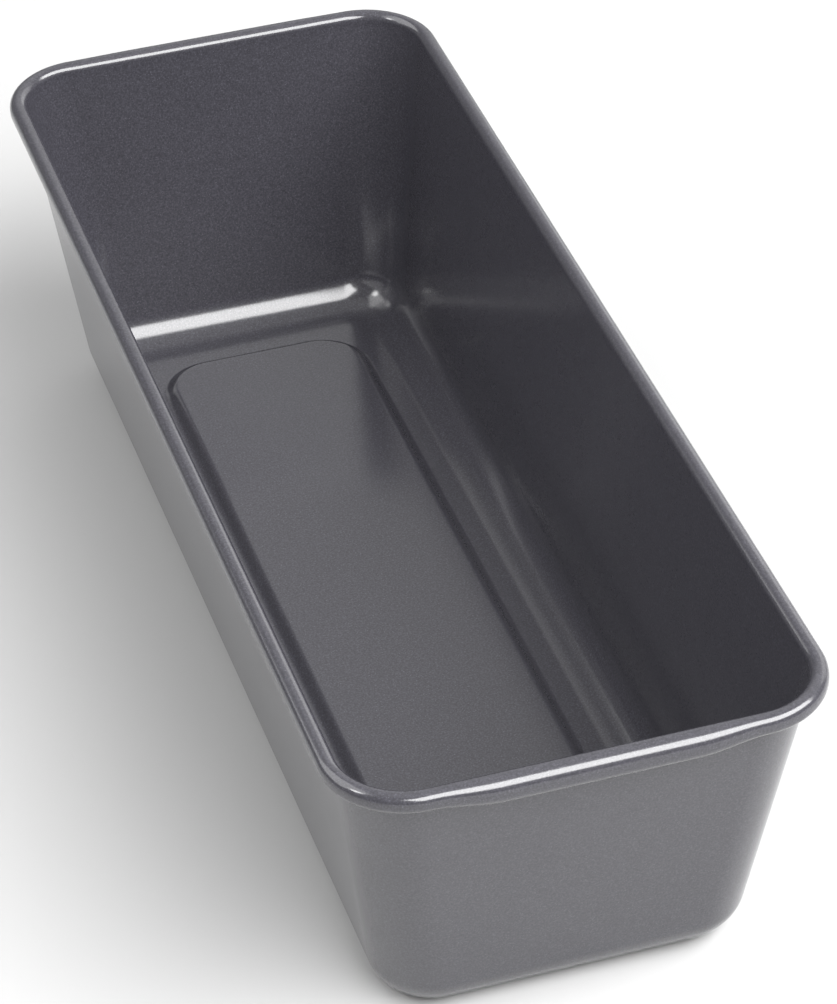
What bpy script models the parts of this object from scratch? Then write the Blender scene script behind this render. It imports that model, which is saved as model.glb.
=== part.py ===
"""Loaf pan: one deep-drawn, enamelled steel shell whose rim is curled over a closed ring of steel wire.

Metres, +Z up, with the long axis along Y. The origin is under the middle of the pan, where it rests.
"""

from math import atan, cos, pi, radians, sin, tan

import bmesh
import bpy

# Overall size, over the curled rim
LENGTH = 0.3018
WIDTH = 0.1097
HEIGHT = 0.0771

# Sheet steel with its enamel, and the wire that the rim is curled over
SHEET = 0.0008
WIRE_DIAMETER = 0.0020
WIRE_GAP = 0.0003

# Curled rim: round over the wire, with a short skirt and a tucked-in edge
BEAD_RADIUS = WIRE_DIAMETER / 2 + WIRE_GAP + SHEET
BEAD_SKIRT = 0.0005
BEAD_EDGE_ANGLE = radians(-115)
RIM_CORNER_RADIUS = 0.0168

# Along the straight part of both ends the curl's outer half is rolled larger, tapering off to the corners
END_SWELL = 0.0009
END_SWELL_TAPER = 0.015

# Floor inside the pan, measured where the walls would meet it without the fillet
FLOOR_LENGTH = 0.2616
FLOOR_WIDTH = 0.0809
FLOOR_CORNER_RADIUS = 0.0126
FLOOR_FILLET = 0.0101

# Panel pressed up in the middle of the floor, measured along its flat top
PANEL_LENGTH = 0.2270
PANEL_WIDTH = 0.0472
PANEL_CORNER_RADIUS = 0.0098
PANEL_RISE = 0.0020
PANEL_STEP_RUN = 0.0036

# How finely the round stretches and the ends are faceted
CORNER_SEGMENTS = 8
END_SEGMENTS = 12
STEP_SEGMENTS = 5
FILLET_SEGMENTS = 7
CURL_SEGMENTS = 12
TUCK_SEGMENTS = 6
WIRE_BEVEL_RESOLUTION = 4
SHARP_ANGLE = radians(40)

# Base colour, roughness and metallic of each material
ENAMEL = ((0.095, 0.095, 0.103, 1.0), 0.25, 0.2)
WIRE_STEEL = ((0.50, 0.50, 0.52, 1.0), 0.4, 1.0)

# Worked out from the sizes above; each section is a half length, a half width and a corner radius
BEAD_CENTRE_Z = HEIGHT - BEAD_RADIUS
RIM_SECTION = (LENGTH / 2 - END_SWELL - BEAD_RADIUS, WIDTH / 2 - BEAD_RADIUS, RIM_CORNER_RADIUS)
FLOOR_SECTION = (FLOOR_LENGTH / 2, FLOOR_WIDTH / 2, FLOOR_CORNER_RADIUS)
PANEL_SECTION = (PANEL_LENGTH / 2, PANEL_WIDTH / 2, PANEL_CORNER_RADIUS)
WALL_RISE = BEAD_CENTRE_Z - SHEET
END_LEAN = atan((RIM_SECTION[0] - BEAD_RADIUS - FLOOR_SECTION[0]) / WALL_RISE)
SIDE_LEAN = atan((RIM_SECTION[1] - BEAD_RADIUS - FLOOR_SECTION[1]) / WALL_RISE)


def clear_scene():
    for old in list(bpy.data.objects):
        bpy.data.objects.remove(old)


def make_material(name, colour, roughness, metallic):
    material = bpy.data.materials.new(name)
    material.use_nodes = True
    shader = material.node_tree.nodes["Principled BSDF"]
    shader.inputs["Base Color"].default_value = colour
    shader.inputs["Roughness"].default_value = roughness
    shader.inputs["Metallic"].default_value = metallic
    return material


def grown(section, distance):
    """A section moved outwards by a distance."""
    return tuple(size + distance for size in section)


def eased(share):
    """A share between 0 and 1, with a soft start and a soft end."""
    return share * share * (3 - 2 * share)


def ring_points(section, z, end_reach=0.0, end_drop=0.0):
    """Points round a rounded rectangle at one height, which may reach out and down further at its ends."""
    half_length, half_width, radius = section
    centre_x = half_width - radius
    centre_y = half_length - radius
    points = []
    for quarter, (side_x, side_y) in enumerate(((1, 1), (-1, 1), (-1, -1), (1, -1))):
        for step in range(CORNER_SEGMENTS + 1):
            angle = (quarter + step / CORNER_SEGMENTS) * pi / 2
            x = side_x * centre_x + radius * cos(angle)
            y = side_y * centre_y + radius * sin(angle)
            points.append((x, y, z))
        if side_x == side_y:
            for step in range(1, END_SEGMENTS):
                x = side_x * centre_x * (1 - 2 * step / END_SEGMENTS)
                swell = eased(min((centre_x - abs(x)) / END_SWELL_TAPER, 1.0))
                points.append((x, side_y * (half_length + end_reach * swell), z - end_drop * swell))
    return points


def wall_section(z):
    """The inner skin's section at a height, on the straight line from the floor to the rim's curl."""
    top_section = grown(RIM_SECTION, -BEAD_RADIUS)
    share = (z - SHEET) / WALL_RISE
    return tuple(low + (high - low) * share for low, high in zip(FLOOR_SECTION, top_section))


def panel_rings():
    """Up-pressed panel: an S-shaped step from its flat top down to the floor round it."""
    rings = []
    for step in range(STEP_SEGMENTS + 1):
        share = step / STEP_SEGMENTS
        z = SHEET + PANEL_RISE * (1 + cos(pi * share)) / 2
        rings.append(ring_points(grown(PANEL_SECTION, PANEL_STEP_RUN * share), z))
    return rings


def fillet_inset(angle, lean):
    """How far the fillet stands in from a leaning wall, once it has turned up from the floor by an angle."""
    turn = pi / 2 - lean
    if angle >= turn:
        return 0.0
    rise = FLOOR_FILLET * (1 - cos(angle))
    return rise * tan(lean) + FLOOR_FILLET * (tan(turn / 2) - sin(angle))


def fillet_rings():
    """Round turn from the floor into the end walls and the steeper side walls."""
    rings = []
    for step in range(FILLET_SEGMENTS + 1):
        angle = (pi / 2 - SIDE_LEAN) * step / FILLET_SEGMENTS
        z = SHEET + FLOOR_FILLET * (1 - cos(angle))
        half_length, half_width, radius = wall_section(z)
        end_inset = fillet_inset(angle, END_LEAN)
        side_inset = fillet_inset(angle, SIDE_LEAN)
        corner_inset = (end_inset + side_inset) / 2
        section = (half_length - end_inset, half_width - side_inset, radius - corner_inset)
        rings.append(ring_points(section, z))
    return rings


def curl_ring(angle, skirt):
    """One ring of the curl, at an angle round the wire from level outwards, and lowered by the skirt."""
    section = grown(RIM_SECTION, BEAD_RADIUS * cos(angle))
    z = BEAD_CENTRE_Z - skirt + BEAD_RADIUS * sin(angle)
    if angle >= pi / 2:
        return ring_points(section, z)
    return ring_points(section, z, END_SWELL * cos(angle), END_SWELL * (1 - sin(angle)))


def curl_rings():
    """Rim: over the wire from the inside to the outside, down the skirt, and tucked in below."""
    rings = []
    for step in range(CURL_SEGMENTS + 1):
        rings.append(curl_ring(pi * (1 - step / CURL_SEGMENTS), 0.0))
    for step in range(TUCK_SEGMENTS + 1):
        rings.append(curl_ring(BEAD_EDGE_ANGLE * step / TUCK_SEGMENTS, BEAD_SKIRT))
    return rings


def make_pan_shell():
    """The drawn sheet: its inner skin ring by ring, then its thickness added on the outside."""
    shape = bmesh.new()
    loops = []
    for points in panel_rings() + fillet_rings() + curl_rings():
        loops.append([shape.verts.new(point) for point in points])
    shape.faces.new(loops[0])
    for lower, upper in zip(loops, loops[1:]):
        for here in range(len(lower)):
            there = (here + 1) % len(lower)
            shape.faces.new((lower[here], upper[here], upper[there], lower[there]))
    mesh = bpy.data.meshes.new("pan_shell")
    shape.to_mesh(mesh)
    shape.free()
    mesh.shade_smooth()
    mesh.set_sharp_from_angle(angle=SHARP_ANGLE)
    mesh.materials.append(make_material("enamel", *ENAMEL))
    pan = bpy.data.objects.new("pan_shell", mesh)
    bpy.context.collection.objects.link(pan)
    thickness = pan.modifiers.new("sheet", "SOLIDIFY")
    thickness.thickness = SHEET
    thickness.offset = -1.0
    thickness.use_even_offset = True
    thickness.use_quality_normals = True
    return pan


def make_rim_wire():
    """Closed ring of round wire, lying inside the curl."""
    path = bpy.data.curves.new("rim_wire", "CURVE")
    path.dimensions = "3D"
    path.bevel_depth = WIRE_DIAMETER / 2
    path.bevel_resolution = WIRE_BEVEL_RESOLUTION
    points = ring_points(RIM_SECTION, BEAD_CENTRE_Z)
    spline = path.splines.new("POLY")
    spline.points.add(len(points) - 1)
    for target, point in zip(spline.points, points):
        target.co = (*point, 1.0)
    spline.use_cyclic_u = True
    path.materials.append(make_material("wire", *WIRE_STEEL))
    wire = bpy.data.objects.new("rim_wire", path)
    bpy.context.collection.objects.link(wire)
    return wire


clear_scene()
make_pan_shell()
make_rim_wire()
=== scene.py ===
"""Looks of the enamelled loaf pan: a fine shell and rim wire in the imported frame's box, and a plain studio.

Metres and radians inside the functions; azimuths and elevations of the studio are given in degrees.
"""

from math import atan, cos, pi, radians, sin, tan

import bmesh
import bpy
from mathutils import Matrix, Vector


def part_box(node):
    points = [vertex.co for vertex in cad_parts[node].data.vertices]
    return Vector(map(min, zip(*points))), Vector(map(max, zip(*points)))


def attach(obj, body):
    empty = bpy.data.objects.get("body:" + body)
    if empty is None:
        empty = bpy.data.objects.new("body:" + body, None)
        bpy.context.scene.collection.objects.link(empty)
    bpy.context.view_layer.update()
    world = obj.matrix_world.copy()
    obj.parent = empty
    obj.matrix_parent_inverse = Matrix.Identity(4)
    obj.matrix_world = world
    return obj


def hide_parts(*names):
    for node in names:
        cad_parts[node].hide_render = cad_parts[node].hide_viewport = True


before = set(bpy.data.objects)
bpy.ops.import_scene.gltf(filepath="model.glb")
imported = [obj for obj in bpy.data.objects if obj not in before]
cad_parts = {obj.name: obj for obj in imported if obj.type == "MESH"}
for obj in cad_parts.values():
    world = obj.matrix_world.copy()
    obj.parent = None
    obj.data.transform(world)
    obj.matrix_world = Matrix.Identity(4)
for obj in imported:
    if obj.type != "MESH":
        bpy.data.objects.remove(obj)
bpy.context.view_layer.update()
shell_low, shell_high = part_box("pan_shell")
wire_low, wire_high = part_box("rim_wire")

# ---------------------------------------------------------------- sizes, from the frame where it has them

LENGTH = shell_high.y - shell_low.y
WIDTH = shell_high.x - shell_low.x
HEIGHT = shell_high.z
WIRE_RADIUS = (wire_high.z - wire_low.z) / 2
WIRE_Z = (wire_high.z + wire_low.z) / 2

SHEET = 0.0008
BEAD_RADIUS = HEIGHT - WIRE_Z
BEAD_SKIRT = 0.0005
BEAD_EDGE_ANGLE = radians(-115)
RIM_CORNER_RADIUS = 0.0168
END_SWELL = 0.0009
END_SWELL_TAPER = 0.015

# Each section is a half length, a half width and a corner radius
FLOOR_SECTION = (0.1308, 0.04045, 0.0126)
FLOOR_FILLET = 0.0101
PANEL_SECTION = (0.1135, 0.0236, 0.0098)
PANEL_RISE = 0.0020
PANEL_STEP_RUN = 0.0036

RIM_SECTION = (LENGTH / 2 - END_SWELL - BEAD_RADIUS, WIDTH / 2 - BEAD_RADIUS, RIM_CORNER_RADIUS)
WALL_RISE = WIRE_Z - SHEET
END_LEAN = atan((RIM_SECTION[0] - BEAD_RADIUS - FLOOR_SECTION[0]) / WALL_RISE)
SIDE_LEAN = atan((RIM_SECTION[1] - BEAD_RADIUS - FLOOR_SECTION[1]) / WALL_RISE)
MEAN_LEAN = (END_LEAN + SIDE_LEAN) / 2

# How finely each stretch is divided
CORNER_SEGMENTS = 28
END_SEGMENTS = 30
LONG_SEGMENTS = 30
STEP_SEGMENTS = 18
FILLET_SEGMENTS = 28
WALL_SEGMENTS = 18
CURL_SEGMENTS = 40
TUCK_SEGMENTS = 24
WIRE_BEVEL_RESOLUTION = 6

# Rings inside the panel's edge, each an inset and the share of its corner radius that is left
PANEL_INNER_RINGS = ((0.018, 0.2), (0.012, 0.4), (0.006, 0.7), (0.002, 0.95), (0.0005, 1.0))

# Where the extra rings lie across the flat margin round the panel, and down the curl's skirt
MARGIN_SHARES = (0.06, 0.3, 0.6, 0.9)
SKIRT_SHARES = (0.15, 0.5, 0.85)


# ---------------------------------------------------------------- shell

def grown(section, distance):
    """A rounded rectangle's (half length, half width, corner radius), moved outwards by a distance."""
    return tuple(size + distance for size in section)


def blended(low, high, share):
    """The rounded rectangle a share of the way from one to another."""
    return tuple(a + (b - a) * share for a, b in zip(low, high))


def eased(share):
    """A share between 0 and 1, with a soft start and a soft end."""
    return share * share * (3 - 2 * share)


def ring_points(section, z, end_reach=0.0, end_drop=0.0):
    """Points round a rounded rectangle at one height, which may reach out and down further at its ends."""
    half_length, half_width, radius = section
    centre_x = half_width - radius
    centre_y = half_length - radius
    points = []
    for quarter, (side_x, side_y) in enumerate(((1, 1), (-1, 1), (-1, -1), (1, -1))):
        for step in range(CORNER_SEGMENTS + 1):
            angle = (quarter + step / CORNER_SEGMENTS) * pi / 2
            x = side_x * centre_x + radius * cos(angle)
            y = side_y * centre_y + radius * sin(angle)
            points.append(Vector((x, y, z)))
        if side_x == side_y:
            for step in range(1, END_SEGMENTS):
                x = side_x * centre_x * (1 - 2 * step / END_SEGMENTS)
                swell = eased(min((centre_x - abs(x)) / END_SWELL_TAPER, 1.0))
                points.append(Vector((x, side_y * (half_length + end_reach * swell), z - end_drop * swell)))
        else:
            for step in range(1, LONG_SEGMENTS):
                y = side_y * centre_y * (1 - 2 * step / LONG_SEGMENTS)
                points.append(Vector((side_x * half_width, y, z)))
    return points


def wall_section(z):
    """The inner skin's section at a height, on the straight line from the floor to the rim's curl."""
    return blended(FLOOR_SECTION, grown(RIM_SECTION, -BEAD_RADIUS), (z - SHEET) / WALL_RISE)


def panel_rings():
    """Up-pressed panel, from its middle out to its edge and down the S-shaped step to the floor."""
    rings = []
    top = SHEET + PANEL_RISE
    half_length, half_width, radius = PANEL_SECTION
    for inset, radius_share in PANEL_INNER_RINGS:
        rings.append(ring_points((half_length - inset, half_width - inset, radius * radius_share), top))
    for step in range(STEP_SEGMENTS + 1):
        share = step / STEP_SEGMENTS
        z = SHEET + PANEL_RISE * (1 + cos(pi * share)) / 2
        rings.append(ring_points(grown(PANEL_SECTION, PANEL_STEP_RUN * share), z))
    return rings


def fillet_inset(angle, lean):
    """How far the fillet stands in from a leaning wall, once it has turned up from the floor by an angle."""
    turn = pi / 2 - lean
    if angle >= turn:
        return 0.0
    rise = FLOOR_FILLET * (1 - cos(angle))
    return rise * tan(lean) + FLOOR_FILLET * (tan(turn / 2) - sin(angle))


def fillet_section(angle, z):
    """The inner skin's section where the fillet has turned up from the floor by an angle."""
    half_length, half_width, radius = wall_section(z)
    end_inset = fillet_inset(angle, END_LEAN)
    side_inset = fillet_inset(angle, SIDE_LEAN)
    return (half_length - end_inset, half_width - side_inset, radius - (end_inset + side_inset) / 2)


def fillet_rings():
    """Flat margin round the panel, then the round turn into the walls."""
    foot = grown(PANEL_SECTION, PANEL_STEP_RUN)
    start = fillet_section(0.0, SHEET)
    rings = [ring_points(blended(foot, start, share), SHEET) for share in MARGIN_SHARES]
    for step in range(FILLET_SEGMENTS + 1):
        angle = (pi / 2 - SIDE_LEAN) * step / FILLET_SEGMENTS
        z = SHEET + FLOOR_FILLET * (1 - cos(angle))
        rings.append(ring_points(fillet_section(angle, z), z))
    return rings


def wall_rings():
    """Straight walls, with the rings closer together near the fillet and the curl."""
    low = SHEET + FLOOR_FILLET * (1 - sin(SIDE_LEAN))
    high = WIRE_Z + BEAD_RADIUS * sin(MEAN_LEAN)
    rings = []
    for step in range(1, WALL_SEGMENTS):
        share = (1 - cos(pi * step / WALL_SEGMENTS)) / 2
        z = low + (high - low) * share
        rings.append(ring_points(wall_section(z), z))
    return rings


def curl_ring(angle, skirt):
    """One ring of the curl, at an angle round the wire from level outwards, and lowered by the skirt."""
    section = grown(RIM_SECTION, BEAD_RADIUS * cos(angle))
    z = WIRE_Z - skirt + BEAD_RADIUS * sin(angle)
    if angle >= pi / 2:
        return ring_points(section, z)
    return ring_points(section, z, END_SWELL * cos(angle), END_SWELL * (1 - sin(angle)))


def curl_rings():
    """Rim: over the wire from the inside to the outside, down the skirt, and tucked in below."""
    rings = []
    for step in range(CURL_SEGMENTS + 1):
        rings.append(curl_ring((pi - MEAN_LEAN) * (1 - step / CURL_SEGMENTS), 0.0))
    for share in SKIRT_SHARES:
        rings.append(curl_ring(0.0, BEAD_SKIRT * share))
    for step in range(TUCK_SEGMENTS + 1):
        rings.append(curl_ring(BEAD_EDGE_ANGLE * step / TUCK_SEGMENTS, BEAD_SKIRT))
    return rings


def make_shell(material):
    """The drawn sheet: its glazed inner skin ring by ring, thickened outwards."""
    shape = bmesh.new()
    loops = []
    for points in panel_rings() + fillet_rings() + wall_rings() + curl_rings():
        loops.append([shape.verts.new(point) for point in points])
    shape.faces.new(loops[0])
    for lower, upper in zip(loops, loops[1:]):
        for here in range(len(lower)):
            there = (here + 1) % len(lower)
            shape.faces.new((lower[here], upper[here], upper[there], lower[there]))
    mesh = bpy.data.meshes.new("shell")
    shape.to_mesh(mesh)
    shape.free()
    mesh.shade_smooth()
    mesh.materials.append(material)
    shell = bpy.data.objects.new("shell", mesh)
    bpy.context.scene.collection.objects.link(shell)
    thickness = shell.modifiers.new("sheet", "SOLIDIFY")
    thickness.thickness = SHEET
    thickness.offset = -1.0
    thickness.use_even_offset = True
    thickness.use_quality_normals = True
    return shell


def make_wire(material):
    """Closed ring of drawn wire inside the curl."""
    path = bpy.data.curves.new("rim_ring", "CURVE")
    path.dimensions = "3D"
    path.bevel_depth = WIRE_RADIUS
    path.bevel_resolution = WIRE_BEVEL_RESOLUTION
    points = ring_points(RIM_SECTION, WIRE_Z)
    spline = path.splines.new("POLY")
    spline.points.add(len(points) - 1)
    for target, point in zip(spline.points, points):
        target.co = (*point, 1.0)
    spline.use_cyclic_u = True
    path.materials.append(material)
    wire = bpy.data.objects.new("rim_ring", path)
    bpy.context.scene.collection.objects.link(wire)
    return wire


# ---------------------------------------------------------------- materials

def grey(value, blue=1.0):
    return (value, value, value * blue, 1.0)


def enamel_grey(value):
    """A grey of the enamel, which is a little blue and violet."""
    return (value, value * 0.97, value * 1.18, 1.0)


# Noise scales are in cells per metre; stops are a position and a colour
ENAMEL_GROUND_SCALE = 2200.0
ENAMEL_GROUND = ((0.32, enamel_grey(0.027)), (0.50, enamel_grey(0.039)), (0.68, enamel_grey(0.059)))
FLAKE_SCALE = 1500.0
FLAKE_MASK = ((0.0, grey(0.42)), (0.18, grey(0.0)))
FLAKE_COLOUR = enamel_grey(0.20)
ENAMEL_ROUGH_SCALE = 60.0
ENAMEL_ROUGHNESS = ((0.3, grey(0.46)), (0.7, grey(0.56)))
ENAMEL_SPECULAR_LEVEL = 0.1
COAT_ROUGHNESS = 0.16
COAT_IOR = 1.65
PEEL_SCALE = 300.0
PEEL_DEPTH = 0.00001

WIRE_COLOUR_SCALE = 900.0
WIRE_COLOUR = ((0.3, grey(0.33)), (0.7, grey(0.52, 1.03)))
WIRE_ROUGH_SCALE = 2400.0
WIRE_ROUGHNESS = ((0.3, grey(0.32)), (0.7, grey(0.5)))

FLOOR_COLOUR_SCALE = 3.0
FLOOR_COLOUR = ((0.3, grey(0.45)), (0.7, grey(0.48)))
FLOOR_ROUGHNESS = 0.9


def new_material(name):
    material = bpy.data.materials.new(name)
    material.use_nodes = True
    nodes = material.node_tree.nodes
    return material, nodes, material.node_tree.links, nodes["Principled BSDF"]


def noise(nodes, links, coordinates, scale, detail=2.0, roughness=0.5):
    texture = nodes.new("ShaderNodeTexNoise")
    texture.inputs["Scale"].default_value = scale
    texture.inputs["Detail"].default_value = detail
    texture.inputs["Roughness"].default_value = roughness
    links.new(coordinates, texture.inputs["Vector"])
    return texture.outputs["Fac"]


def ramp(nodes, links, factor, stops):
    node = nodes.new("ShaderNodeValToRGB")
    elements = node.color_ramp.elements
    elements[0].position, elements[0].color = stops[0]
    elements[1].position, elements[1].color = stops[-1]
    for position, colour in stops[1:-1]:
        elements.new(position).color = colour
    links.new(factor, node.inputs["Fac"])
    return node.outputs["Color"]


def enamel_material():
    """Glossy dark grey enamel: light mica in a dark ground, under a clear coat with an orange-peel ripple."""
    material, nodes, links, shader = new_material("enamel")
    where = nodes.new("ShaderNodeTexCoord").outputs["Object"]
    ground = ramp(nodes, links, noise(nodes, links, where, ENAMEL_GROUND_SCALE, 3.0, 0.7), ENAMEL_GROUND)
    flakes = nodes.new("ShaderNodeTexVoronoi")
    flakes.inputs["Scale"].default_value = FLAKE_SCALE
    links.new(where, flakes.inputs["Vector"])
    flake_mask = ramp(nodes, links, flakes.outputs["Distance"], FLAKE_MASK)
    speckled = nodes.new("ShaderNodeMix")
    speckled.data_type = "RGBA"
    speckled.blend_type = "ADD"
    links.new(flake_mask, speckled.inputs["Factor"])
    links.new(ground, speckled.inputs["A"])
    speckled.inputs["B"].default_value = FLAKE_COLOUR
    links.new(speckled.outputs["Result"], shader.inputs["Base Color"])
    rough = ramp(nodes, links, noise(nodes, links, where, ENAMEL_ROUGH_SCALE, 3.0), ENAMEL_ROUGHNESS)
    links.new(rough, shader.inputs["Roughness"])
    shader.inputs["Metallic"].default_value = 0.0
    shader.inputs["Specular IOR Level"].default_value = ENAMEL_SPECULAR_LEVEL
    shader.inputs["Coat Weight"].default_value = 1.0
    shader.inputs["Coat Roughness"].default_value = COAT_ROUGHNESS
    shader.inputs["Coat IOR"].default_value = COAT_IOR
    peel = nodes.new("ShaderNodeBump")
    peel.inputs["Distance"].default_value = PEEL_DEPTH
    peel.inputs["Strength"].default_value = 1.0
    links.new(noise(nodes, links, where, PEEL_SCALE, 1.5, 0.45), peel.inputs["Height"])
    links.new(peel.outputs["Normal"], shader.inputs["Coat Normal"])
    links.new(peel.outputs["Normal"], shader.inputs["Normal"])
    return material


def wire_material():
    """Plain drawn steel wire with a mottled, dull grey skin."""
    material, nodes, links, shader = new_material("drawn_wire")
    where = nodes.new("ShaderNodeTexCoord").outputs["Object"]
    colour = ramp(nodes, links, noise(nodes, links, where, WIRE_COLOUR_SCALE, 4.0, 0.6), WIRE_COLOUR)
    links.new(colour, shader.inputs["Base Color"])
    rough = ramp(nodes, links, noise(nodes, links, where, WIRE_ROUGH_SCALE, 2.0), WIRE_ROUGHNESS)
    links.new(rough, shader.inputs["Roughness"])
    shader.inputs["Metallic"].default_value = 1.0
    return material


def floor_material():
    material, nodes, links, shader = new_material("studio_floor")
    where = nodes.new("ShaderNodeTexCoord").outputs["Object"]
    colour = ramp(nodes, links, noise(nodes, links, where, FLOOR_COLOUR_SCALE), FLOOR_COLOUR)
    links.new(colour, shader.inputs["Base Color"])
    shader.inputs["Roughness"].default_value = FLOOR_ROUGHNESS
    return material


# ---------------------------------------------------------------- studio

CAMERA_AZIMUTH = radians(-16.69)
CAMERA_ELEVATION = radians(36.85)
CAMERA_ROLL = radians(-1.64)
CAMERA_DISTANCE = 1.0299
CAMERA_AIM = Vector((0.0, 0.0, 0.03833))
CAMERA_SIDE = 0.00744
CAMERA_RISE = -0.00243
CAMERA_LENS = 159.25
SENSOR = 36.0
CLIP_START = 0.05
CLIP_END = 50.0

# The floor is a disk that lies just under the pan
FLOOR_RADIUS = 1.7
FLOOR_SEGMENTS = 96
FLOOR_GAP = 0.0002

# What the enamel reflects of the room: a pale wall in one direction, fading to a dim room by the cosine of
# the angle from it. The camera sees a plain pale backdrop in its place.
WALL_AZIMUTH = 146.0
WALL_ELEVATION = 35.0
WALL_STOPS = ((0.78, grey(0.24)), (0.95, grey(0.78)))
BACKDROP = grey(0.8)

# Name, azimuth, elevation, distance, width, height and radiance of each softbox; all face the origin
SOFTBOXES = (
    ("key_right", 38.0, 48.5, 1.6, 2.2, 0.96, 11.5),
    ("kicker_left", -80.0, 45.0, 1.6, 0.25, 0.4, 12.0),
    ("fill_left", -116.0, 46.0, 1.8, 1.6, 1.5, 2.6),
    ("rim_right", 126.0, 20.0, 2.0, 1.4, 1.1, 1.1),
    ("top", 180.0, 86.0, 1.8, 1.2, 1.2, 0.45),
)


def direction(azimuth, elevation):
    """Unit vector towards a point at an azimuth (0 is -Y, 90 is +X) and an elevation."""
    return Vector((sin(azimuth) * cos(elevation), -cos(azimuth) * cos(elevation), sin(elevation)))


def make_camera():
    camera_data = bpy.data.cameras.new("camera")
    camera_data.lens = CAMERA_LENS
    camera_data.sensor_width = SENSOR
    camera_data.clip_start = CLIP_START
    camera_data.clip_end = CLIP_END
    back = direction(CAMERA_AZIMUTH, CAMERA_ELEVATION)
    level = (-back).cross(Vector((0, 0, 1))).normalized()
    upright = level.cross(-back)
    right = cos(CAMERA_ROLL) * level + sin(CAMERA_ROLL) * upright
    up = cos(CAMERA_ROLL) * upright - sin(CAMERA_ROLL) * level
    place = CAMERA_AIM + back * CAMERA_DISTANCE + right * CAMERA_SIDE + up * CAMERA_RISE
    camera = bpy.data.objects.new("camera", camera_data)
    camera.matrix_world = Matrix((
        (right.x, up.x, back.x, place.x),
        (right.y, up.y, back.y, place.y),
        (right.z, up.z, back.z, place.z),
        (0, 0, 0, 1),
    ))
    bpy.context.scene.collection.objects.link(camera)
    bpy.context.scene.camera = camera


def make_softbox(name, azimuth, elevation, distance, size_x, size_y, radiance):
    light_data = bpy.data.lights.new(name, "AREA")
    light_data.shape = "RECTANGLE"
    light_data.size = size_x
    light_data.size_y = size_y
    light_data.energy = radiance * pi * size_x * size_y
    light = bpy.data.objects.new(name, light_data)
    towards = direction(radians(azimuth), radians(elevation))
    light.location = towards * distance
    light.rotation_euler = towards.to_track_quat("Z", "Y").to_euler()
    bpy.context.scene.collection.objects.link(light)


def make_floor():
    shape = bmesh.new()
    bmesh.ops.create_circle(shape, cap_ends=True, segments=FLOOR_SEGMENTS, radius=FLOOR_RADIUS)
    mesh = bpy.data.meshes.new("studio_floor")
    shape.to_mesh(mesh)
    shape.free()
    mesh.materials.append(floor_material())
    floor = bpy.data.objects.new("studio_floor", mesh)
    floor.location.z = shell_low.z - FLOOR_GAP
    bpy.context.scene.collection.objects.link(floor)


def make_world():
    """Dim room with one pale wall behind the pan, to its right, and a pale backdrop for the camera."""
    world = bpy.data.worlds.new("studio")
    bpy.context.scene.world = world
    world.use_nodes = True
    nodes = world.node_tree.nodes
    links = world.node_tree.links
    where = nodes.new("ShaderNodeTexCoord").outputs["Generated"]
    wall = nodes.new("ShaderNodeVectorMath")
    wall.operation = "DOT_PRODUCT"
    wall.inputs[1].default_value = direction(radians(WALL_AZIMUTH), radians(WALL_ELEVATION))
    links.new(where, wall.inputs[0])
    shade = ramp(nodes, links, wall.outputs["Value"], WALL_STOPS)
    seen = nodes.new("ShaderNodeMix")
    seen.data_type = "RGBA"
    links.new(nodes.new("ShaderNodeLightPath").outputs["Is Camera Ray"], seen.inputs["Factor"])
    links.new(shade, seen.inputs["A"])
    seen.inputs["B"].default_value = BACKDROP
    links.new(seen.outputs["Result"], nodes["Background"].inputs["Color"])
    nodes["Background"].inputs["Strength"].default_value = 1.0


make_camera()
enamel = enamel_material()
shell = make_shell(enamel)
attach(shell, "root")
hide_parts("pan_shell")
wire = make_wire(wire_material())
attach(wire, "root")
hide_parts("rim_wire")
make_floor()
make_world()
for softbox in SOFTBOXES:
    make_softbox(*softbox)
bpy.context.scene.view_settings.view_transform = "Standard"
